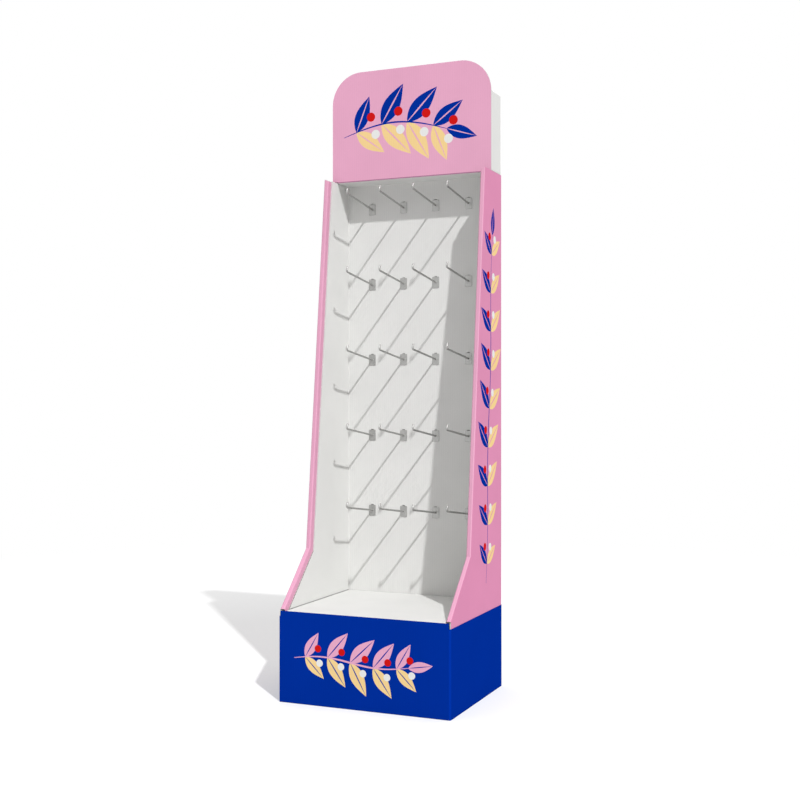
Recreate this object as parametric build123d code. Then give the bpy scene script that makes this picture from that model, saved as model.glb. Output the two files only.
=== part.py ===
from build123d import *
import os

# A floor-standing cardboard display with peg hooks.
# Millimetres. X runs to the right, Y to the back, Z up, and the origin is on the ground at the
# middle of the footprint. The open front of the stand faces -Y.

# Overall size
overall_width = 463.0
overall_depth = 386.0
overall_height = 1654.0

# Board and folds
board = 3.0            # corrugated board
wrap_card = 1.0        # thin printed card of the base wrap
crease_radius = 0.5    # inside radius of a fold
fit = 0.5              # play between pieces that slide together

# Side walls: each front edge rises from the base, flares back to a knee, then leans to the top
floor_height = 230.0
knee_height = 371.0
knee_setback = 143.0
body_top_setback = 252.0
strip_width = 12.5     # printed strip that turns in along each front edge
strip_return = 18.0    # its printed return, which shows along the inner side wall
glue_flap = 14.0       # rest of the return, glued behind the liner
strip_foot_gap = 5.0
knee_gap = 1.0
strip_top_drop = 5.0   # slanted cut at the top end of a strip

# Base
wrap_side_drop = 14.0  # how far the sides of the wrap end below the display floor

# Peg panel and hooks
peg_hollow = 7.0           # between the peg panel and the back wall, for the hooks' tails
hook_columns = 4
hook_rows = 5
side_column_inset = 73.25  # from the inner side wall to the nearest column
top_row_drop = 70.0        # from the top of the walls to the highest row
low_row_rise = 225.0       # from the display floor to the lowest row
hook_reach = 166.0
hook_rise = 21.0
tip_height = 14.0
tip_lean = 8.0         # how far the tip leans back
tail_height = 24.0
wire = 5.0
wire_sides = 12        # flats that stand for the round of the wire
wire_bend = 5.0        # centre-line radius of a bend in the wire
bend_chords = 3        # straight steps round a bend
wire_end_chamfer = 1.2
plate_width = 20.0
plate_height = 30.0
plate_gauge = 1.5
plate_corner = 2.0
slot_width = 7.0
slot_height = 22.0

# Header
header_height = 295.0
header_setback = 302.0
header_inset = 1.0
header_corner = 85.0
header_box_height = 212.0
header_box_inset = 2.0
box_flange = 25.0
tongue_width = 300.0
tongue_depth = 40.0
tongue_chamfer = 15.0

# Places worked out from the sizes above
front = -overall_depth / 2
back = overall_depth / 2
half_width = overall_width / 2
body_height = overall_height - header_height
wrap_side_height = floor_height - wrap_side_drop
fold_outside = crease_radius + board
shell_x = half_width - wrap_card
shell_front = front + wrap_card
shell_back = back - wrap_card
liner_x = shell_x - strip_width   # the liner lies on the inside of the strips' returns
inner_x = liner_x - board
return_depth = strip_return + glue_flap
liner_height = body_height - board
peg_back = shell_back - board - peg_hollow
peg_front = peg_back - board
tray_x = inner_x - fit
tray_back = peg_front - fit
tray_middle = (tray_back + shell_front) / 2
top_row_height = body_height - top_row_drop
row_pitch = (top_row_height - floor_height - low_row_rise) / (hook_rows - 1)
column_pitch = 2 * (inner_x - side_column_inset) / (hook_columns - 1)
slot_rise = slot_height / 2 - wire   # the slot reaches up, so that the tail can be tipped in
header_front = front + header_setback
header_back = header_front + board
box_x = shell_x - header_box_inset
box_back = shell_back - board
foot_point = Vector(shell_front, floor_height)
knee_point = Vector(front + knee_setback, knee_height)
top_point = Vector(front + body_top_setback, body_height)
clear = 50.0           # how far a cutting shape reaches past what it cuts


def folded_sheet(path):
    """Section of a board whose outer corners follow the path and whose folds all turn left."""
    corners = [Vector(*point) for point in path]
    headings = [(b - a).normalized() for a, b in zip(corners, corners[1:])]
    normals = [Vector(-heading.Y, heading.X) for heading in headings]
    inner = [corners[0] + normals[0] * board]
    for corner, n1, n2 in zip(corners[1:], normals, normals[1:]):
        inner.append(corner + (n1 + n2) * (board / (1 + n1.dot(n2))))
    inner.append(corners[-1] + normals[-1] * board)
    folds = len(corners) - 2
    outer_radii = [0] + [fold_outside] * folds + [0]
    inner_radii = [0] + [crease_radius] * folds + [0]
    outline = FilletPolyline(*corners, *reversed(inner), radius=outer_radii + inner_radii, close=True)
    return make_face(outline)


def along_x(points, half_length):
    """A solid with a (Y, Z) outline, as long on both sides of the middle plane."""
    face = make_face(Polyline(*points, close=True))
    return extrude(Plane.YZ * face, half_length, both=True)


def offset_line(start, end, setback):
    """Two points of a (Y, Z) line that is moved back, square to itself."""
    heading = (end - start).normalized()
    normal = Vector(heading.Y, -heading.X)
    return start + normal * setback, end + normal * setback


def crossing(first, second):
    """Where two (Y, Z) lines meet, each given by two points."""
    a, b = first
    c, d = second
    r = b - a
    s = d - c
    share = ((c.X - a.X) * s.Y - (c.Y - a.Y) * s.X) / (r.X * s.Y - r.Y * s.X)
    return a + r * share


def space_in_front(setback):
    """Everything in front of the side walls' front edges, moved back by a setback."""
    ground = Vector(shell_front, 0)
    base_edge = offset_line(ground, foot_point, setback)
    lower_edge = offset_line(foot_point, knee_point, setback)
    upper_edge = offset_line(knee_point, top_point, setback)
    level_below = (Vector(front, -clear), Vector(back, -clear))
    level_above = (Vector(front, body_height + clear), Vector(back, body_height + clear))
    far_front = front - clear
    outline = [
        crossing(base_edge, level_below),
        crossing(base_edge, lower_edge),
        crossing(lower_edge, upper_edge),
        crossing(upper_edge, level_above),
        Vector(far_front, body_height + clear),
        Vector(far_front, -clear),
    ]
    return along_x([(p.X, p.Y) for p in outline], half_width + clear)


def edge_strip(start, end):
    """Strip and return folded in from the right side wall, between two (Y, Z) points."""
    run = end - start
    plane = Plane(origin=(0, start.X, start.Y), x_dir=(1, 0, 0), z_dir=(0, run.X, run.Y))
    side_leg = fold_outside + board
    path = [(liner_x, return_depth), (liner_x, 0), (shell_x, 0), (shell_x, side_leg)]
    return extrude(plane * folded_sheet(path), run.length)


def strip_top_cut():
    """What the slanted end of an upper strip leaves away."""
    low = body_height - strip_top_drop
    high = body_height + clear
    points = [(shell_x, body_height), (liner_x, low), (0, low), (0, high), (shell_x + clear, high)]
    points.append((shell_x + clear, body_height))
    return extrude(Plane.XZ * make_face(Polyline(*points, close=True)), overall_depth, both=True)


def knee_cut(flare, slope, side):
    """What lies past the knee's mitre, above it for side 1 and below it for side -1."""
    up = (flare + slope).normalized() * side
    along = Vector(up.Y, -up.X)
    start = knee_point + up * knee_gap - along * clear
    end = start + along * (2 * clear)
    outline = [start, end, end + up * clear, start + up * clear]
    return along_x([(p.X, p.Y) for p in outline], half_width + clear)


def front_strips():
    """The three strips of the right side wall: behind the base, on the flare, on the slope."""
    flare = (knee_point - foot_point).normalized()
    slope = (top_point - knee_point).normalized()
    base_top = wrap_side_height - strip_foot_gap - knee_gap
    base = edge_strip(Vector(shell_front, 0), Vector(shell_front, base_top))
    lower = edge_strip(foot_point + flare * strip_foot_gap, knee_point + flare * return_depth)
    lower -= knee_cut(flare, slope, 1)
    upper = edge_strip(knee_point - slope * return_depth, top_point + slope * clear)
    upper -= knee_cut(flare, slope, -1)
    return [base, lower, upper - strip_top_cut()]


def make_outer_shell():
    """Back, sides and turned-in front strips, one folded sheet."""
    path = [
        (shell_x, shell_front),
        (shell_x, shell_back),
        (-shell_x, shell_back),
        (-shell_x, shell_front),
    ]
    shell = extrude(folded_sheet(path), body_height)
    shell -= space_in_front(fold_outside)
    for strip in front_strips():
        shell += strip
        shell += mirror(strip, Plane.YZ)
    return shell


def hook_places():
    """Name, X and Z of every hook, top row first, left to right."""
    for row in range(hook_rows):
        z = top_row_height - row * row_pitch
        for column in range(hook_columns):
            x = (column - (hook_columns - 1) / 2) * column_pitch
            yield f"peg_hook_row{row + 1}_col{column + 1}", x, z


def ceiling_flap():
    """Flap of the peg panel, folded forward under the header."""
    path = [(peg_back, liner_height - fold_outside), (peg_back, body_height), (header_front, body_height)]
    return extrude(Plane.YZ * folded_sheet(path), inner_x - fit, both=True)


def make_inner_liner():
    """Peg panel with a slot for each hook, a ceiling flap and two inner side walls, one folded sheet."""
    path = [
        (liner_x, shell_front),
        (liner_x, peg_back),
        (-liner_x, peg_back),
        (-liner_x, shell_front),
    ]
    liner = extrude(folded_sheet(path), liner_height)
    liner -= space_in_front(strip_return)
    liner += ceiling_flap()
    punch = Box(slot_width, 2 * board, slot_height)
    for _, x, z in hook_places():
        liner -= Pos(x, peg_back - board / 2, z + slot_rise) * punch
    return liner


def make_base_tray():
    """Upside-down tray: the display floor with four flaps that stand on the ground."""
    width = 2 * tray_x
    depth = tray_back - shell_front
    ground = Align.MIN
    outside = Box(width, depth, floor_height, align=(Align.CENTER, Align.CENTER, ground))
    outside = fillet(outside.faces().sort_by(Axis.Z)[-1].edges(), fold_outside)
    inside_size = (width - 2 * board, depth - 2 * board, floor_height - board)
    inside = Box(*inside_size, align=(Align.CENTER, Align.CENTER, ground))
    inside = fillet(inside.faces().sort_by(Axis.Z)[-1].edges(), crease_radius)
    tray = outside - inside
    notch = Box(2 * fold_outside, 2 * fold_outside, 2 * floor_height + clear)
    for x in (-width / 2, width / 2):
        for y in (-depth / 2, depth / 2):
            tray -= Pos(x, y, 0) * notch
    return Pos(0, tray_middle, 0) * tray


def divider(length, slot_at, from_top):
    """Upright board with a half-height slot, standing in the XZ plane."""
    height = floor_height - board
    slot_z = height if from_top else 0
    blank = Box(length, board, height, align=(Align.CENTER, Align.CENTER, Align.MIN))
    slot = Box(board + fit, 2 * board, height + fit)
    return blank - Pos(slot_at, 0, slot_z) * slot


def make_base_divider_wide():
    """Board across the base, under the floor."""
    length = 2 * (tray_x - board - fit)
    return Pos(0, tray_middle, 0) * divider(length, 0, True)


def make_base_divider_deep():
    """Board from front to back of the base, under the floor."""
    length = tray_back - shell_front - 2 * (board + fit)
    return Pos(0, tray_middle, 0) * Rot(0, 0, 90) * divider(length, 0, False)


def make_base_wrap():
    """Thin band round the foot, with a front panel that stands taller than the sides."""
    outer_radius = fold_outside + wrap_card
    outside = RectangleRounded(overall_width, overall_depth, outer_radius)
    inside = RectangleRounded(2 * shell_x, overall_depth - 2 * wrap_card, fold_outside)
    band = extrude(outside - inside, wrap_side_height)
    panel_width = overall_width - 2 * outer_radius
    panel = Box(panel_width, wrap_card, floor_height, align=(Align.CENTER, Align.MIN, Align.MIN))
    return band + Pos(0, front, 0) * panel


def make_header_card():
    """Printed panel with rounded upper corners."""
    width = 2 * (shell_x - header_inset)
    card = Box(width, board, header_height, align=(Align.CENTER, Align.MAX, Align.MIN))
    corners = card.edges().filter_by(Axis.Y).sort_by(Axis.Z)[-2:]
    return Pos(0, header_back, body_height) * fillet(corners, header_corner)


def make_header_box():
    """Folded box behind the header card: back, four walls and the flanges the card is glued to."""
    width = 2 * box_x
    depth = box_back - header_back
    align = (Align.CENTER, Align.MIN, Align.MIN)
    outside = Box(width, depth, header_box_height, align=align)
    outside = fillet(outside.edges().filter_by(Axis.Y), fold_outside)
    inside_size = (width - 2 * board, depth - 2 * board, header_box_height - 2 * board)
    inside = Pos(0, board, board) * Box(*inside_size, align=align)
    window_size = (width - 2 * box_flange, 2 * board, header_box_height - 2 * box_flange)
    window = Pos(0, 0, box_flange) * Box(*window_size, align=align)
    box = Pos(0, header_back, body_height) * (outside - inside - window)
    return box + header_tongue()


def header_tongue():
    """Part of the box's back that reaches down behind the peg panel."""
    align = (Align.CENTER, Align.MAX, Align.MAX)
    tongue = Box(tongue_width, board, tongue_depth + fold_outside, align=align)
    corners = tongue.edges().filter_by(Axis.Y).sort_by(Axis.Z)[:2]
    return Pos(0, box_back, body_height + fold_outside) * chamfer(corners, tongue_chamfer)


def wire_path(centre_line):
    """The wire's centre line, with each round bend taken in a few straight steps."""
    edges = centre_line.wire().order_edges()
    points = [edges[0] @ 0]
    for edge in edges:
        steps = bend_chords if edge.geom_type == GeomType.CIRCLE else 1
        points += [edge @ (step / steps) for step in range(1, steps + 1)]
    return Polyline(*points)


def make_hook():
    """Wire hook for the place x = 0, z = 0: tail, arm, upturned tip and welded back plate."""
    tail_y = peg_back + wire / 2 + fit
    slope = hook_rise / hook_reach
    tail_top = Vector(0, tail_y, tail_height)
    tail_foot = Vector(0, tail_y, -(tail_y - peg_front) * slope)
    tip_foot = Vector(0, peg_front - hook_reach, hook_rise)
    tip_top = tip_foot + Vector(0, tip_lean, tip_height)
    path = wire_path(FilletPolyline(tail_top, tail_foot, tip_foot, tip_top, radius=wire_bend))
    section = Plane(origin=path @ 0, z_dir=path % 0) * RegularPolygon(wire / 2, wire_sides)
    rod = sweep(section, path=path, transition=Transition.RIGHT)
    tip_face = rod.faces().sort_by_distance(tip_top)[0]
    rod = chamfer(tip_face.edges(), wire_end_chamfer)
    plate = Box(plate_width, plate_gauge, plate_height, align=(Align.CENTER, Align.MAX, Align.CENTER))
    plate = chamfer(plate.edges().filter_by(Axis.Y), plate_corner)
    return rod + Pos(0, peg_front, 0) * plate


parts = {
    "outer_shell": make_outer_shell(),
    "inner_liner": make_inner_liner(),
    "base_tray": make_base_tray(),
    "base_divider_wide": make_base_divider_wide(),
    "base_divider_deep": make_base_divider_deep(),
    "base_wrap": make_base_wrap(),
    "header_card": make_header_card(),
    "header_box": make_header_box(),
}

hook = make_hook()
for name, x, z in hook_places():
    parts[name] = Pos(x, 0, z) * hook

os.makedirs("parts", exist_ok=True)
for name, shape in parts.items():
    export_step(shape, f"parts/{name}.step")
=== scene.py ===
"""Looks of a floor-standing cardboard display with peg hooks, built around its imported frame."""
from math import cos, pi, radians, sin, tan, tau

import bmesh
import bpy
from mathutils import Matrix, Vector
from mathutils.geometry import delaunay_2d_cdt


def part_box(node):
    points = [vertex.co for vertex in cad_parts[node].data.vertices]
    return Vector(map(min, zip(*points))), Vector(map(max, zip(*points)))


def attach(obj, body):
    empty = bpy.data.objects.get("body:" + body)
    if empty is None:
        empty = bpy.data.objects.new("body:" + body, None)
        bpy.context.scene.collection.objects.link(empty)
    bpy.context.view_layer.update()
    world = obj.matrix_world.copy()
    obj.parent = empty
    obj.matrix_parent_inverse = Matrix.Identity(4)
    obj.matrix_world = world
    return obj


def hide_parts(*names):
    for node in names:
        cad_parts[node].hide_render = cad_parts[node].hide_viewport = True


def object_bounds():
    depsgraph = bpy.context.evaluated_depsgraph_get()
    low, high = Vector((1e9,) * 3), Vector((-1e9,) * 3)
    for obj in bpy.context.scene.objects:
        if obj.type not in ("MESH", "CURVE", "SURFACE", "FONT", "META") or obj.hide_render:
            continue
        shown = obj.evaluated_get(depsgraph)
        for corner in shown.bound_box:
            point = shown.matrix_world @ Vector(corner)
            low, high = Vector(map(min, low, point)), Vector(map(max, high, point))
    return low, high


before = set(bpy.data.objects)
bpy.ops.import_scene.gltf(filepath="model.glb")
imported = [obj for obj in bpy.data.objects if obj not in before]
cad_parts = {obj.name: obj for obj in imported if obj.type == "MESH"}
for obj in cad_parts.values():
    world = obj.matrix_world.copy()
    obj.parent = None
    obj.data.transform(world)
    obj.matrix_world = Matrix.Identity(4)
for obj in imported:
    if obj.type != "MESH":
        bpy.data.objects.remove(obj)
cad_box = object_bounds()

# Sizes in metres: X runs to the right, Y to the back, Z up, and the open front faces -Y
mm = 0.001
right_way = Vector((1, 0, 0))
back_way = Vector((0, 1, 0))
up_way = Vector((0, 0, 1))
board = 3 * mm
join_gap = 0.01 * mm            # vertices closer than this are one
fold_limit = radians(35)        # a sharper edge than this parts two sides of a board
raw_edge_width = 4.5 * mm       # a side of a board narrower than this is a cut edge
crease_width = 1.2 * mm         # a facet narrower than this belongs to a fold
plane_facing = 0.999            # a facet lies in a panel's plane if it faces its way by this share
plane_gap = 10 * join_gap       # and is no further from the plane than this
strip_facing = 0.5              # least share to the front or the inside of a strip's facet
shaded_edge_facing = 0.9               # least share to the front of a cut edge that gets painted shade

# Places of the skins in a board's list of materials
outside_skin = 0
inside_skin = 1
cut_skin = 2
crease_skin = 3
first_ink = 4

# Front edge of a side wall, as setbacks from the foot's front and heights
knee_setback = 143 * mm
knee_height = 371 * mm
top_setback = 252 * mm

# Hooks
wire = 5 * mm
wire_bend = 5 * mm
wire_end = 1.8 * mm             # rounding of the wire's cut ends
hook_reach = 166 * mm
hook_rise = 21 * mm
tip_height = 14 * mm
tip_lean = 8 * mm
tail_height = 24 * mm
tail_play = 0.5 * mm
plate_width = 20 * mm
plate_height = 30 * mm
plate_gauge = 1.5 * mm
plate_corner = 2 * mm
plate_bevel = 0.3 * mm
weld_height = 1.3 * mm          # fillet of the weld between wire and plate
ring_steps = 24
bend_steps = 10
end_steps = 4
weld_steps = 6
corner_steps = 4

# Print
inside_only = 1                 # the way of cutting that keeps the triangles inside the rim
print_gap = join_gap / 10       # points of outlines closer than this are one
disc_steps = 64
leaf_steps = 24
leaf_width = 0.4                # of the leaf's length
leaf_belly = 0.8                # under 1 puts the widest place nearer to the foot
leaf_lean = radians(52)
end_leaf = 0.72                 # size of a leaf at a vine's ends, as a share of one in its middle
tip_leaf = 0.72                 # length of the leaf at a vine's tip, as a share of the others
vein_width = 0.035
heading_step = 0.01             # half the share of a vine over which its heading is measured
stem_width = 4.5 * mm
stem_end = 0.3                  # width of a stem's ends, as a share of its middle
stem_steps = 90
berry_ahead = 0.42              # places and sizes of berries, as shares of a leaf's length
berry_out = 0.2
berry_size = 0.1
header_vine_length = 300 * mm
header_vine_height = 120 * mm   # above the header's lower edge
header_vine_arch = 30 * mm
header_nodes = 4
header_leaf = 124 * mm
side_vine_length = 900 * mm
side_vine_low = 290 * mm
side_sway = 5 * mm
side_sways = 2
side_nodes = 9
side_leaf = 102 * mm
base_vine_length = 310 * mm
base_sway = 8 * mm
base_nodes = 5
base_leaf = 90 * mm

# Finish of board and card, with noise scales in cells a metre and relief in millimetres
noise_low = 0.3                 # most of a noise lies between these
noise_high = 0.7
board_specular = 0.0
ink_roughness = 0.42
crease_roughness = 0.5
white_roughness = 0.62
roughness_spread = 0.06
flute_pitch = 6.5 * mm
cloud_scale = 9.0
fibre_scale = 700.0
fibre_detail = 5.0
fibre_roughness = 0.65
flute_weight = 0.12             # of flutes and fibres in the tone, in which clouds weigh 1
fibre_weight = 0.8
tone_low = 0.5                  # the tone's weighed sum where it is darkest and lightest
tone_high = 1.3
board_dark = 0.955
board_light = 1.035
flute_relief = 0.03
fibre_relief = 0.02
contact_shade_height = 1 * mm            # painted shade: a dark line where a board meets a floor
contact_shade_factor = 0.5

# Finish of a cut edge, with places across it as shares of the board's thickness
cut_roughness = 0.85
cut_specular = 0.2
cut_middle = 0.5
flute_swing = 0.34
flute_full = 0.07               # the flute's paper fades out between these distances from its line
flute_gone = 0.13
liner_gone = 0.36               # a liner's paper fades in between these distances from the middle
liner_full = 0.42
upright_cut = 0.3               # the flutes open up between these shares of facing up or down
level_cut = 0.7
upright_cover = 0.8             # share of paper on an upright cut
cut_fibre_scale = 900.0
cut_fibre_detail = 4.0
cut_dark = 0.86
cut_fibre_relief = 0.15         # beside the paper, which stands out by 1
cut_relief = 0.4 * mm
cut_relief_strength = 0.6

# Finish of the plated wire
steel_smooth = 0.44
steel_rough = 0.58
steel_dark = 0.78
steel_light = 1.08
steel_cloud_scale = 160.0
streak_scale = 2400.0
streak_stretch = (1.0, 0.06, 0.3)
streak_weight = 0.5
streak_relief = 0.03 * mm
streak_relief_strength = 0.4

# Finish of the floor
floor_roughness = 0.9
floor_specular = 0.1
floor_cloud_scale = 1.5
floor_dark = 0.99
floor_light = 1.01

# Camera, fitted to the photograph
lens = 54.04
sensor = 36.0
camera_place = Vector((1.2424, -2.8574, 0.7609))
camera_turn = radians(23.19)

# Light
sun_way = Vector((-0.4855, 0.47, -0.68))
sun_strength = 0.8 * pi
sun_size = radians(1.5)
sky_low = 0.16                  # brightness of the sky at the horizon and overhead
sky_high = 0.95
floor_glow = 0.26               # share of plain white in what the camera sees of the near floor
floor_near = 1.1                # the floor turns to plain white between these distances
floor_far = 3.3
floor_reach = 60.0


def screen(red, green, blue):
    """Linear colour of a value from 0 to 255 on the screen, by the standard curve."""
    def channel(value):
        share = value / 255
        return share / 12.92 if share <= 0.04045 else ((share + 0.055) / 1.055) ** 2.4
    return channel(red), channel(green), channel(blue), 1.0


def shade(colour, factor):
    """The colour, lighter or darker."""
    return tuple(min(1.0, channel * factor) for channel in colour[:3]) + (1.0,)


# Colours
colours = {
    "pink": screen(226, 166, 194),
    "rose": screen(218, 143, 178),
    "blush": screen(219, 160, 187),
    # painted shade: a dark mauve for the liner's front cut edge under the header
    "painted_shade_mauve": screen(168, 120, 145),
    "blue": screen(2, 46, 150),
    "cream": screen(240, 208, 146),
    "red": screen(204, 26, 25),
    "white": screen(228, 228, 226),
}
# painted shade on pink and rose folds and a painted highlight on blue folds
fold_shade_tones = {"pink": 0.95, "rose": 0.9, "blue": 1.12}
# painted shade: how much darker than the blue ink the band's cut edges are
card_edge_shade = 0.6
board_white = screen(223, 223, 221)
# painted shade: the tray's board is darker than the walls' to tone down its sunlit top
tray_shaded_white = screen(216, 216, 214)
# painted shade: the dark of the flutes' hollows on a cut edge
flute_hollow_shade = screen(120, 114, 106)
steel_grey = screen(184, 184, 182)
floor_white = screen(249, 249, 249)
floor_grey = screen(207, 207, 207)   # what the floor throws back on the object
sky_white = (1.0, 1.0, 1.0, 1.0)


# Shader helpers

def new_material(name, **values):
    """A Principled material with its plain values set, its node tree and its shader."""
    material = bpy.data.materials.new(name)
    material.use_nodes = True
    tree = material.node_tree
    shader = tree.nodes["Principled BSDF"]
    for key, value in values.items():
        shader.inputs[key.replace("_", " ")].default_value = value
    return material, tree, shader


def add_node(tree, kind, inputs=None, **settings):
    """A node with its settings made, and its inputs filled with values or linked to sockets."""
    made = tree.nodes.new(kind)
    for key, value in settings.items():
        setattr(made, key, value)
    for key, value in (inputs or {}).items():
        if isinstance(value, bpy.types.NodeSocket):
            tree.links.new(value, made.inputs[key])
        else:
            made.inputs[key].default_value = value
    return made


def maths(tree, operation, *values):
    """Result of a Math node."""
    return add_node(tree, "ShaderNodeMath", dict(enumerate(values)), operation=operation).outputs[0]


def noise(tree, place, scale, detail=3.0, roughness=0.5):
    """A grey noise from 0 to 1."""
    inputs = {"Vector": place, "Scale": scale, "Detail": detail, "Roughness": roughness}
    return add_node(tree, "ShaderNodeTexNoise", inputs).outputs["Fac"]


def blend(tree, share, first, second):
    """A colour between two others."""
    inputs = {"Fac": share, "Color1": first, "Color2": second}
    return add_node(tree, "ShaderNodeMixRGB", inputs).outputs["Color"]


def stretch(tree, value, low, high, new_low, new_high):
    """A value moved from one range to another and kept inside it."""
    inputs = {"Value": value, 1: low, 2: high, 3: new_low, 4: new_high}
    return add_node(tree, "ShaderNodeMapRange", inputs).outputs["Result"]


def set_bump(tree, shader, strength, distance, height):
    """Gives a shader a bump from a height."""
    inputs = {"Strength": strength, "Distance": distance, "Height": height}
    bump = add_node(tree, "ShaderNodeBump", inputs)
    tree.links.new(bump.outputs["Normal"], shader.inputs["Normal"])


def object_place(tree):
    """Places in the frame's own axes."""
    return add_node(tree, "ShaderNodeTexCoord").outputs["Object"]


def face_normal(tree):
    """The way a face points, without smoothing or bump."""
    return add_node(tree, "ShaderNodeNewGeometry").outputs["True Normal"]


def parts_of(tree, vector):
    """X, Y and Z of a vector."""
    split = add_node(tree, "ShaderNodeSeparateXYZ", {"Vector": vector})
    return split.outputs["X"], split.outputs["Y"], split.outputs["Z"]


def side_share(tree):
    """1 on a wall that faces left or right, 0 on one that faces the front or back."""
    return maths(tree, "ABSOLUTE", parts_of(tree, face_normal(tree))[0])


def flute_wave(tree, place):
    """A wave from -1 to 1 across the upright flutes inside a board."""
    x, y, _ = parts_of(tree, place)
    across = maths(tree, "MULTIPLY_ADD", maths(tree, "SUBTRACT", y, x), side_share(tree), x)
    return maths(tree, "SINE", maths(tree, "MULTIPLY", across, tau / flute_pitch))


def seen_directly(tree):
    """1 for what the camera, a mirror or a clear pane shows, 0 for light on its way."""
    path = add_node(tree, "ShaderNodeLightPath")
    seen = maths(tree, "MAXIMUM", path.outputs["Is Camera Ray"], path.outputs["Is Glossy Ray"])
    return maths(tree, "MAXIMUM", seen, path.outputs["Is Transmission Ray"])


# Materials

def add_painted_contact_shade(tree, place, surface, colour, contact_shade_floor, contact_shade_front):
    """A surface with painted shade: a dark line just above a height where a board meets a floor, full
    on the sides and by a share in front.
    """
    above = maths(tree, "SUBTRACT", parts_of(tree, place)[2], contact_shade_floor)
    share = stretch(tree, side_share(tree), 0.0, 1.0, contact_shade_front, 1.0)
    # painted shade: the colour darkens in a band just above the floor's height
    near = stretch(tree, above, contact_shade_height, 2 * contact_shade_height, share, 0.0)
    return blend(tree, near, surface, shade(colour, contact_shade_factor))


def board_skin(name, colour, roughness, contact_shade_floor=None, contact_shade_front=0.0):
    """A sheet glued over the flutes: faint ridges, fibres and an uneven tone, with a line of painted
    contact shade if asked.
    """
    material, tree, shader = new_material(name, Specular_IOR_Level=board_specular)
    place = object_place(tree)
    wave = flute_wave(tree, place)
    fibres = noise(tree, place, fibre_scale, fibre_detail, fibre_roughness)
    clouds = noise(tree, place, cloud_scale)
    tone = maths(tree, "MULTIPLY_ADD", wave, flute_weight, clouds)
    tone = maths(tree, "ADD", tone, maths(tree, "MULTIPLY", fibres, fibre_weight))
    tone = stretch(tree, tone, tone_low, tone_high, 0.0, 1.0)
    surface = blend(tree, tone, shade(colour, board_dark), shade(colour, board_light))
    if contact_shade_floor is not None:
        surface = add_painted_contact_shade(tree, place, surface, colour, contact_shade_floor, contact_shade_front)
    tree.links.new(surface, shader.inputs["Base Color"])
    smoothest = roughness - roughness_spread
    roughest = roughness + roughness_spread
    gloss = stretch(tree, fibres, noise_low, noise_high, smoothest, roughest)
    tree.links.new(gloss, shader.inputs["Roughness"])
    flutes = maths(tree, "MULTIPLY", wave, flute_relief)
    set_bump(tree, shader, 1.0, mm, maths(tree, "MULTIPLY_ADD", fibres, fibre_relief, flutes))
    return material


def paper_share(tree):
    """1 where a cut edge shows paper, 0 where it shows the hollows between the flutes."""
    flute_map = add_node(tree, "ShaderNodeUVMap", uv_map="flute").outputs["UV"]
    along, across, _ = parts_of(tree, flute_map)
    wave = maths(tree, "SINE", maths(tree, "MULTIPLY", along, tau / flute_pitch))
    middle = maths(tree, "MULTIPLY_ADD", wave, flute_swing, cut_middle)
    flute = maths(tree, "ABSOLUTE", maths(tree, "SUBTRACT", across, middle))
    flute = stretch(tree, flute, flute_full, flute_gone, 1.0, 0.0)
    liner = maths(tree, "ABSOLUTE", maths(tree, "SUBTRACT", across, cut_middle))
    liner = stretch(tree, liner, liner_gone, liner_full, 0.0, 1.0)
    level = maths(tree, "ABSOLUTE", parts_of(tree, face_normal(tree))[2])
    closed = stretch(tree, level, upright_cut, level_cut, upright_cover, 0.0)
    return maths(tree, "MAXIMUM", maths(tree, "MAXIMUM", flute, liner), closed)


def cut_edge(name):
    """The cut edge of a corrugated board: two liners, and the flute's ends on level cuts, with painted
    shade in the hollows between them.
    """
    values = {"Roughness": cut_roughness, "Specular_IOR_Level": cut_specular}
    material, tree, shader = new_material(name, **values)
    paper = paper_share(tree)
    fibres = noise(tree, object_place(tree), cut_fibre_scale, cut_fibre_detail)
    tone = stretch(tree, fibres, noise_low, noise_high, 0.0, 1.0)
    cut = blend(tree, tone, shade(board_white, cut_dark), board_white)
    # painted shade fills the hollows between the flutes
    tree.links.new(blend(tree, paper, flute_hollow_shade, cut), shader.inputs["Base Color"])
    height = maths(tree, "MULTIPLY_ADD", fibres, cut_fibre_relief, paper)
    set_bump(tree, shader, cut_relief_strength, cut_relief, height)
    return material


def plated_steel(name):
    """Zinc-plated wire: fine drawn streaks and a slightly cloudy shine."""
    material, tree, shader = new_material(name, Metallic=1.0)
    place = object_place(tree)
    inputs = {0: place, 1: streak_stretch}
    drawn = add_node(tree, "ShaderNodeVectorMath", inputs, operation="MULTIPLY").outputs[0]
    streaks = noise(tree, drawn, streak_scale)
    clouds = noise(tree, place, steel_cloud_scale)
    cloud_tone = maths(tree, "MULTIPLY", clouds, 1 - streak_weight)
    tone = maths(tree, "MULTIPLY_ADD", streaks, streak_weight, cloud_tone)
    tone = stretch(tree, tone, noise_low, noise_high, 0.0, 1.0)
    surface = blend(tree, tone, shade(steel_grey, steel_dark), shade(steel_grey, steel_light))
    tree.links.new(surface, shader.inputs["Base Color"])
    gloss = stretch(tree, clouds, noise_low, noise_high, steel_smooth, steel_rough)
    tree.links.new(gloss, shader.inputs["Roughness"])
    set_bump(tree, shader, streak_relief_strength, streak_relief, streaks)
    return material


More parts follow.
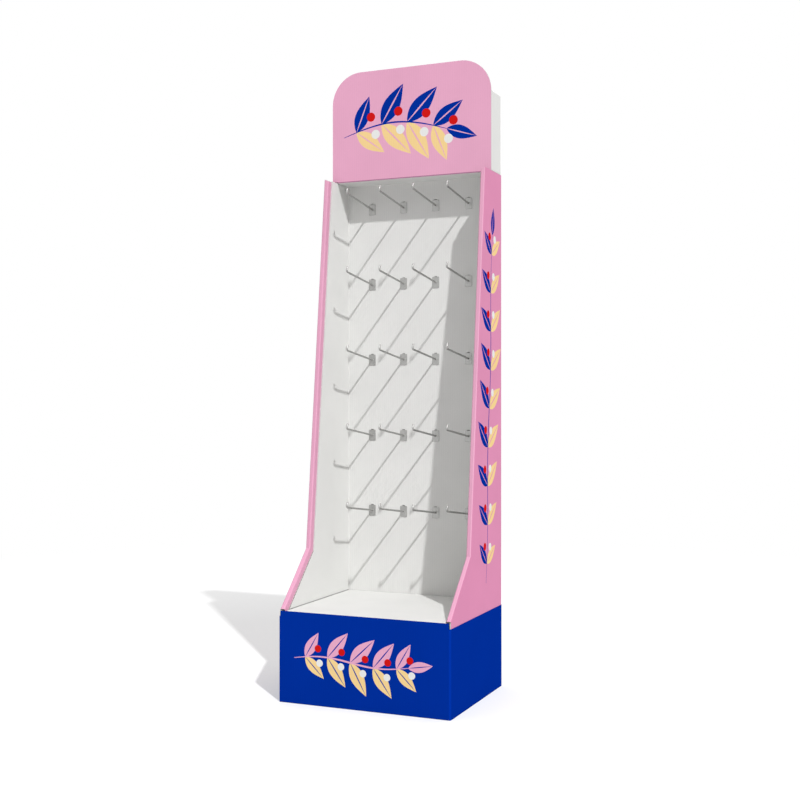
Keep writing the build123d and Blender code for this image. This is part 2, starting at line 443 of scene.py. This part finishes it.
def studio_floor(name):
    """Plain pale floor with a faint unevenness, which turns to plain white far away."""
    values = {"Roughness": floor_roughness, "Specular_IOR_Level": floor_specular}
    material, tree, shader = new_material(name, **values)
    place = object_place(tree)
    clouds = noise(tree, place, floor_cloud_scale)
    seen = seen_directly(tree)
    surface = blend(tree, clouds, shade(floor_white, floor_dark), shade(floor_white, floor_light))
    tree.links.new(blend(tree, seen, floor_grey, surface), shader.inputs["Base Color"])
    glow = add_node(tree, "ShaderNodeEmission")
    away = add_node(tree, "ShaderNodeVectorMath", {0: place}, operation="LENGTH").outputs["Value"]
    share = stretch(tree, away, floor_near, floor_far, floor_glow, 1.0)
    inputs = {0: maths(tree, "MULTIPLY", seen, share), 1: shader.outputs[0], 2: glow.outputs[0]}
    mixed = add_node(tree, "ShaderNodeMixShader", inputs)
    tree.links.new(mixed.outputs[0], tree.nodes["Material Output"].inputs["Surface"])
    return material


def painted_fold_skin(name):
    """The print of one ink where a board is folded, darker as painted shade on pink and rose and
    lighter as a painted highlight on blue.
    """
    colour = shade(colours[name], fold_shade_tones[name])
    return board_skin(f"crease_{name}", colour, crease_roughness)


inks = {name: board_skin(f"ink_{name}", colour, ink_roughness) for name, colour in colours.items()}
ink_skins = {name: first_ink + index for index, name in enumerate(inks)}
plain_side = board_skin("plain_white_board", board_white, white_roughness)
raw_edge = cut_edge("cut_board_edge")
steel = plated_steel("zinc_plated_wire")
painted_fold_skins = {name: painted_fold_skin(name) for name in fold_shade_tones}


def printed_board(ground):
    """Materials of a printed board, in the order of the skins."""
    return [inks[ground], plain_side, raw_edge, painted_fold_skins[ground]] + list(inks.values())


# Board meshes

def board_copy(node):
    """A CAD board's mesh with the doubled vertices of its sharp edges joined."""
    shape = bmesh.new()
    shape.from_mesh(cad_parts[node].data)
    bmesh.ops.remove_doubles(shape, verts=shape.verts, dist=join_gap)
    shape.normal_update()
    return shape


def smooth_regions(shape):
    """Lists of faces that run on into each other over gentle folds."""
    regions = []
    seen = set()
    for first in shape.faces:
        if first in seen:
            continue
        seen.add(first)
        region = [first]
        for face in region:
            for edge in face.edges:
                if len(edge.link_faces) != 2 or edge.calc_face_angle() > fold_limit:
                    continue
                fresh = [other for other in edge.link_faces if other not in seen]
                seen.update(fresh)
                region += fresh
        regions.append(region)
    return regions


def rim_of(faces):
    """Edges round a patch of faces."""
    patch = set(faces)
    return [edge for face in faces for edge in face.edges if not patch.issuperset(edge.link_faces)]


def mean_width(region):
    """Twice the area of a region over the length of its rim."""
    length = sum(edge.calc_length() for edge in rim_of(region))
    return 2 * sum(face.calc_area() for face in region) / length


def facet_width(face):
    """How narrow a triangle is."""
    return 2 * face.calc_area() / max(edge.calc_length() for edge in face.edges)


def mark_cut_edge(shape, region, sides):
    """Writes how far along and across the board each corner of a cut edge is."""
    layer = shape.loops.layers.uv["flute"]
    around = [other for face in region for vert in face.verts for other in vert.link_faces]
    one_side = next((sides[face] for face in around if face in sides), None)
    for face in region:
        for corner in face.loops:
            place = corner.vert.co
            near = any(sides.get(other) == one_side for other in corner.vert.link_faces)
            corner[layer].uv = (place.x + place.y, 0.0 if near else 1.0)


def paint_board(shape, outside):
    """Gives each face its skin: the outside, the inside, a cut edge or a crease."""
    shape.loops.layers.uv.new("flute")
    sides = {}
    cuts = []
    for number, region in enumerate(smooth_regions(shape)):
        if mean_width(region) < raw_edge_width:
            cuts.append(region)
            continue
        shown = any(outside(vert.co) for face in region for vert in face.verts)
        skin = outside_skin if shown else inside_skin
        for face in region:
            sides[face] = number
            crease = shown and facet_width(face) < crease_width
            face.material_index = crease_skin if crease else skin
    for region in cuts:
        mark_cut_edge(shape, region, sides)
        for face in region:
            face.material_index = cut_skin


def finish_piece(name, shape, materials, node):
    """An object from a finished mesh, standing for its CAD node."""
    for edge in shape.edges:
        edge.smooth = edge.is_manifold and edge.calc_face_angle() < fold_limit
    mesh = bpy.data.meshes.new(name)
    shape.to_mesh(mesh)
    shape.free()
    for material in materials:
        mesh.materials.append(material)
    piece = bpy.data.objects.new(name, mesh)
    bpy.context.scene.collection.objects.link(piece)
    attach(piece, "root")
    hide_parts(node)


def finish_board(name, shape, materials, node):
    """A piece of board: flat panels with rounded folds between them."""
    for face in shape.faces:
        face.smooth = facet_width(face) < crease_width
    finish_piece(name, shape, materials, node)


# Print

def panel_faces(shape, normal, offset):
    """Faces that lie in one plane."""
    facing = [face for face in shape.faces if face.normal.dot(normal) > plane_facing]
    return [face for face in facing if abs(face.calc_center_median().dot(normal) - offset) < plane_gap]


def print_panel(shape, faces, right, up, motifs):
    """Cuts flat outlines into a panel, the later ones on top, and gives each its ink."""
    normal = faces[0].normal.copy()
    offset = faces[0].verts[0].co.dot(normal)
    rim_edges = rim_of(faces)
    rim = sorted({vert for edge in rim_edges for vert in edge.verts}, key=lambda vert: vert.index)
    number = {vert: index for index, vert in enumerate(rim)}
    points = [Vector((vert.co.dot(right), vert.co.dot(up))) for vert in rim]
    lines = [tuple(number[vert] for vert in edge.verts) for edge in rim_edges]
    outlines = []
    for outline, _ in motifs:
        outlines.append(list(range(len(points), len(points) + len(outline))))
        points += [Vector(point) for point in outline]
    cut_up = delaunay_2d_cdt(points, lines, outlines, inside_only, print_gap)
    places, _, triangles, origins, _, covers = cut_up
    bmesh.ops.delete(shape, geom=faces, context="FACES_ONLY")
    corners = []
    for place, origin in zip(places, origins):
        old = [rim[index] for index in origin if index < len(rim)]
        spot = right * place.x + up * place.y + normal * offset
        corners.append(old[0] if old else shape.verts.new(spot))
    for triangle, cover in zip(triangles, covers):
        face = shape.faces.new([corners[index] for index in triangle])
        face.material_index = ink_skins[motifs[max(cover)][1]] if cover else outside_skin
    shape.normal_update()


def arc(radius, start, end, centre, steps):
    """Points of an arc, in turns from the right, both ends included."""
    turns = [start + (end - start) * step / steps for step in range(steps + 1)]
    return [(centre[0] + radius * cos(tau * t), centre[1] + radius * sin(tau * t)) for t in turns]


def disc(radius, centre):
    """A full circle."""
    return arc(radius, 0.0, 1.0, centre, disc_steps)[:-1]


def left_of(heading):
    """The way square to a heading, to its left."""
    return Vector((-heading.y, heading.x))


def leaf(foot, heading, length):
    """A pointed leaf and its vein, from its foot along a heading."""
    side = left_of(heading)

    def almond(width):
        shares = [step / leaf_steps for step in range(leaf_steps + 1)]
        edge = [(share * length, width / 2 * sin(pi * share ** leaf_belly)) for share in shares]
        near = [foot + heading * along + side * out for along, out in edge]
        far = [foot + heading * along - side * out for along, out in edge[-2:0:-1]]
        return far[::-1] + near[::-1]

    return almond(length * leaf_width), almond(length * vein_width)


def stem(points):
    """A band along a line of points that thins to both ends."""
    left = []
    right = []
    last = len(points) - 1
    for number, point in enumerate(points):
        ahead = points[min(number + 1, last)]
        behind = points[max(number - 1, 0)]
        side = left_of((ahead - behind).normalized())
        half = stem_width / 2 * (stem_end + (1 - stem_end) * sin(pi * number / last))
        left.append(point + side * half)
        right.append(point - side * half)
    return right + left[::-1]


def vine(line, nodes, length, ink):
    """Outlines and inks of a stem with leaf pairs and berries; the line gives a point by share."""
    shapes = []
    berries = []
    for node in range(nodes):
        share = (node + 0.5) / nodes
        foot = line(share)
        heading = (line(share + heading_step) - line(share - heading_step)).normalized()
        size = length * (end_leaf + (1 - end_leaf) * sin(pi * share))
        for side, leaf_ink, berry_ink in ((1, "dark", "warm"), (-1, "light", "pale")):
            out = left_of(heading) * side
            blade, vein = leaf(foot, heading * cos(leaf_lean) + out * sin(leaf_lean), size)
            shapes += [(blade, ink[leaf_ink]), (vein, ink["ground"])]
            berry = foot + heading * length * berry_ahead + out * length * berry_out
            berries.append((disc(length * berry_size, berry), ink[berry_ink]))
    tip = line(1.0)
    heading = (tip - line(1.0 - 2 * heading_step)).normalized()
    blade, vein = leaf(tip, heading, length * tip_leaf)
    shapes += [(blade, ink["dark"]), (vein, ink["ground"])]
    stalk = [line(step / stem_steps) for step in range(stem_steps + 1)]
    return shapes + [(stem(stalk), ink["dark"])] + berries


on_pink = {"ground": "pink", "dark": "blue", "light": "cream", "warm": "red", "pale": "white"}
on_rose = {**on_pink, "ground": "rose"}
on_blue = {**on_pink, "ground": "blue", "dark": "pink"}


# Pieces of board

def make_header_card():
    """Printed panel above the peg panel."""
    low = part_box("header_card")[0]
    shape = board_copy("header_card")
    paint_board(shape, lambda place: place.y < low.y + join_gap)

    def line(share):
        x = header_vine_length * (share - 0.5) - header_leaf * tip_leaf / 2
        return Vector((x, low.z + header_vine_height + header_vine_arch * sin(pi * share)))

    shapes = vine(line, header_nodes, header_leaf, on_pink)
    print_panel(shape, panel_faces(shape, -back_way, -low.y), right_way, up_way, shapes)
    finish_board("header_card_board", shape, printed_board("pink"), "header_card")


def side_vine(high, flip):
    """A vine that follows the middle of a side wall."""
    slope = (top_setback - knee_setback) / (high.z - knee_height)

    def line(share):
        height = side_vine_low + share * side_vine_length
        edge = cad_box[0].y + knee_setback + slope * (height - knee_height)
        sway = side_sway * sin(tau * side_sways * share)
        return Vector((flip * ((edge + high.y) / 2 + sway), height))

    return vine(line, side_nodes, side_leaf, on_rose)


def paint_strips(shape):
    """Inks of the turned-in strips and their returns, which match the base at their feet."""
    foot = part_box("base_tray")[1].z
    for face in shape.faces:
        place = face.calc_center_median()
        inward = -face.normal.x if place.x > 0 else face.normal.x
        printed = face.material_index in (outside_skin, crease_skin)
        if printed and max(-face.normal.y, inward) > strip_facing:
            face.material_index = ink_skins["blue" if place.z < foot else "blush"]


def make_outer_shell():
    """Printed back and sides with the strips that turn in along the front."""
    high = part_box("outer_shell")[1]
    shape = board_copy("outer_shell")
    paint_board(shape, lambda place: abs(place.x) > high.x - join_gap)
    paint_strips(shape)
    for flip in (1, -1):
        faces = panel_faces(shape, right_way * flip, high.x)
        print_panel(shape, faces, back_way * flip, up_way, side_vine(high, flip))
    finish_board("outer_shell_board", shape, printed_board("rose"), "outer_shell")


def make_base_wrap():
    """Thin printed band round the foot, with its blue cut edges darkened by painted shade and a
    painted shade line along the ground.
    """
    low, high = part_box("base_wrap")
    shape = board_copy("base_wrap")
    paint_board(shape, lambda place: abs(place.x) > high.x - join_gap)

    def line(share):
        x = base_vine_length * (share - 0.5) - base_leaf * tip_leaf / 2
        return Vector((x, high.z / 2 + base_sway * sin(tau * share)))

    shapes = vine(line, base_nodes, base_leaf, on_blue)
    print_panel(shape, panel_faces(shape, -back_way, -low.y), right_way, up_way, shapes)
    blue = colours["blue"]
    # painted shade: a dark line along the ground, round all sides of the band
    foot_shaded_ink = board_skin("ink_blue_with_painted_foot_shade", blue, ink_roughness, contact_shade_floor=low.z, contact_shade_front=1.0)
    # painted shade: the cut edges take a darkened blue
    shaded_edge = board_skin("painted_shade_card_edge", shade(blue, card_edge_shade), white_roughness)
    skins = printed_board("blue")
    skins[outside_skin] = foot_shaded_ink
    skins[cut_skin] = shaded_edge
    finish_board("base_wrap_card", shape, skins, "base_wrap")


def make_inner_liner():
    """White peg panel and inner walls, with painted shade on the front edge under the header and a
    painted shade line along the tray.
    """
    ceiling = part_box("header_card")[0].z - board
    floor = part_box("base_tray")[1].z
    # painted shade: a dark line along the tray, on the side walls only
    wall = board_skin("white_wall_board_with_painted_floor_shade", board_white, white_roughness, contact_shade_floor=floor)
    shape = board_copy("inner_liner")
    paint_board(shape, lambda place: True)
    for face in shape.faces:
        # painted shade: the front-facing cut edge above the ceiling takes the dark mauve
        if -face.normal.y > shaded_edge_facing and face.calc_center_median().z > ceiling:
            face.material_index = first_ink
    skins = [wall, wall, raw_edge, wall, inks["painted_shade_mauve"]]
    finish_board("inner_liner_board", shape, skins, "inner_liner")


def make_white_board(node, skin):
    """A board with no print."""
    shape = board_copy(node)
    paint_board(shape, lambda place: True)
    finish_board(f"{node}_board", shape, [skin, skin, raw_edge, skin], node)


# Hooks

def bend(before, corner, after):
    """Rings of a round bend in the wire."""
    into = (corner - before).normalized()
    out = (after - corner).normalized()
    turn = into.angle(out)
    side = (out - into * cos(turn)).normalized()
    centre = corner - into * wire_bend * tan(turn / 2) + side * wire_bend
    rings = []
    for step in range(bend_steps + 1):
        angle = turn * step / bend_steps
        place = centre + (into * sin(angle) - side * cos(angle)) * wire_bend
        rings.append((place, into * cos(angle) + side * sin(angle), wire / 2))
    return rings


def rounded_end(place, heading, way):
    """Rings of the wire's rounded end, from the full wire out to the flat tip."""
    rings = []
    for step in range(end_steps + 1):
        angle = pi / 2 * step / end_steps
        back = wire_end * (1 - sin(angle))
        radius = wire / 2 - wire_end * (1 - cos(angle))
        rings.append((place - heading * way * back, heading, radius))
    return rings


def weld_rings(start, heading):
    """Rings of the weld, which narrows from the plate to the wire."""
    rings = []
    for step in range(weld_steps, -1, -1):
        angle = pi / 2 * step / weld_steps
        ahead = weld_height * (1 - sin(angle))
        radius = wire / 2 + weld_height * (1 - cos(angle))
        rings.append((start + heading * ahead, heading, radius))
    return rings


def hook_rings(panel_front):
    """Centres, headings and radii of the rings along the wire, tail first."""
    tail_y = panel_front + board + wire / 2 + tail_play
    slope = hook_rise / hook_reach
    arm = Vector((0, -hook_reach, hook_rise)).normalized()
    tail_top = Vector((0, tail_y, tail_height))
    tail_foot = Vector((0, tail_y, -(tail_y - panel_front) * slope))
    tip_foot = Vector((0, panel_front - hook_reach, hook_rise))
    tip = Vector((0, tip_lean, tip_height))
    tip_top = tip_foot + tip
    plate_face = Vector((0, panel_front - plate_gauge, plate_gauge * slope))
    rings = rounded_end(tail_top, -up_way, -1)[::-1]
    rings += bend(tail_top, tail_foot, tip_foot)
    rings += weld_rings(plate_face, arm)
    rings += bend(tail_foot, tip_foot, tip_top)
    rings += rounded_end(tip_top, tip.normalized(), 1)
    return rings


def close_tube(shape, loops):
    """Joins loops of vertices with quads and closes both ends."""
    for first, second in zip(loops, loops[1:]):
        for index in range(len(first)):
            after = (index + 1) % len(first)
            shape.faces.new((first[index], first[after], second[after], second[index]))
    shape.faces.new(loops[0][::-1])
    shape.faces.new(loops[-1])


def add_wire(shape, panel_front):
    """The bent wire, from its tail behind the panel to its tip."""
    loops = []
    angles = [tau * step / ring_steps for step in range(ring_steps)]
    for place, heading, radius in hook_rings(panel_front):
        normal = right_way.cross(heading)
        rays = [right_way * cos(angle) + normal * sin(angle) for angle in angles]
        loops.append([shape.verts.new(place + ray * radius) for ray in rays])
    close_tube(shape, loops)


def plate_outline(inset):
    """Rounded outline of the back plate."""
    points = []
    radius = plate_corner - inset
    for turn, right, up in ((0.0, 1, 1), (0.25, -1, 1), (0.5, -1, -1), (0.75, 1, -1)):
        centre = (right * (plate_width / 2 - plate_corner), up * (plate_height / 2 - plate_corner))
        points += arc(radius, turn, turn + 0.25, centre, corner_steps)
    return points


def add_plate(shape, panel_front):
    """The plate that is welded to the wire and lies on the panel, bevelled on both faces."""
    layers = (
        (0.0, plate_bevel),
        (plate_bevel, 0.0),
        (plate_gauge - plate_bevel, 0.0),
        (plate_gauge, plate_bevel),
    )
    loops = []
    for ahead, inset in layers:
        y = panel_front - ahead
        loops.append([shape.verts.new((x, y, z)) for x, z in plate_outline(inset)])
    close_tube(shape, loops)


def make_hooks():
    """One wire hook for each hook of the frame."""
    panel_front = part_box("inner_liner")[1].y - board
    for node in sorted(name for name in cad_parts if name.startswith("peg_hook")):
        low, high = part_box(node)
        shape = bmesh.new()
        add_wire(shape, panel_front)
        add_plate(shape, panel_front)
        place = Vector(((low.x + high.x) / 2, 0, low.z + plate_height / 2))
        bmesh.ops.translate(shape, verts=shape.verts, vec=place)
        bmesh.ops.recalc_face_normals(shape, faces=shape.faces)
        for face in shape.faces:
            face.smooth = len(face.verts) == 4
        finish_piece(node.replace("peg_hook", "wire_hook"), shape, [steel], node)


# Stage

def make_floor():
    """A wide pale floor."""
    shape = bmesh.new()
    bmesh.ops.create_grid(shape, x_segments=1, y_segments=1, size=floor_reach)
    mesh = bpy.data.meshes.new("studio_floor")
    shape.to_mesh(mesh)
    shape.free()
    mesh.materials.append(studio_floor("pale_floor"))
    floor = bpy.data.objects.new("studio_floor", mesh)
    bpy.context.scene.collection.objects.link(floor)


def make_sun():
    """The key light, from the right and in front."""
    lamp = bpy.data.lights.new("key_light", "SUN")
    lamp.energy = sun_strength
    lamp.angle = sun_size
    key = bpy.data.objects.new("key_light", lamp)
    key.rotation_euler = sun_way.to_track_quat("-Z", "Y").to_euler()
    bpy.context.scene.collection.objects.link(key)


def make_sky():
    """Soft light from all round, with a white background to look at and to mirror."""
    world = bpy.data.worlds.new("studio")
    world.use_nodes = True
    tree = world.node_tree
    way = add_node(tree, "ShaderNodeTexCoord").outputs["Generated"]
    soft = stretch(tree, parts_of(tree, way)[2], 0.0, 1.0, sky_low, sky_high)
    strength = stretch(tree, seen_directly(tree), 0.0, 1.0, soft, 1.0)
    background = tree.nodes["Background"]
    tree.links.new(strength, background.inputs["Strength"])
    background.inputs["Color"].default_value = sky_white
    bpy.context.scene.world = world


def make_camera():
    """The photograph's view: a level camera, turned to the left."""
    data = bpy.data.cameras.new("camera")
    data.lens = lens
    data.sensor_width = sensor
    camera = bpy.data.objects.new("camera", data)
    camera.location = camera_place
    camera.rotation_euler = (pi / 2, 0.0, camera_turn)
    bpy.context.scene.collection.objects.link(camera)
    bpy.context.scene.camera = camera


make_header_card()
make_outer_shell()
make_base_wrap()
make_inner_liner()
# painted shade: the tray takes a darker white than the rest of the board
make_white_board("base_tray", board_skin("tray_board_painted_shade", tray_shaded_white, white_roughness))
for plain_node in ("base_divider_wide", "base_divider_deep", "header_box"):
    make_white_board(plain_node, plain_side)
make_hooks()
make_floor()
make_sun()
make_sky()
make_camera()
bpy.context.scene.view_settings.view_transform = "Standard"
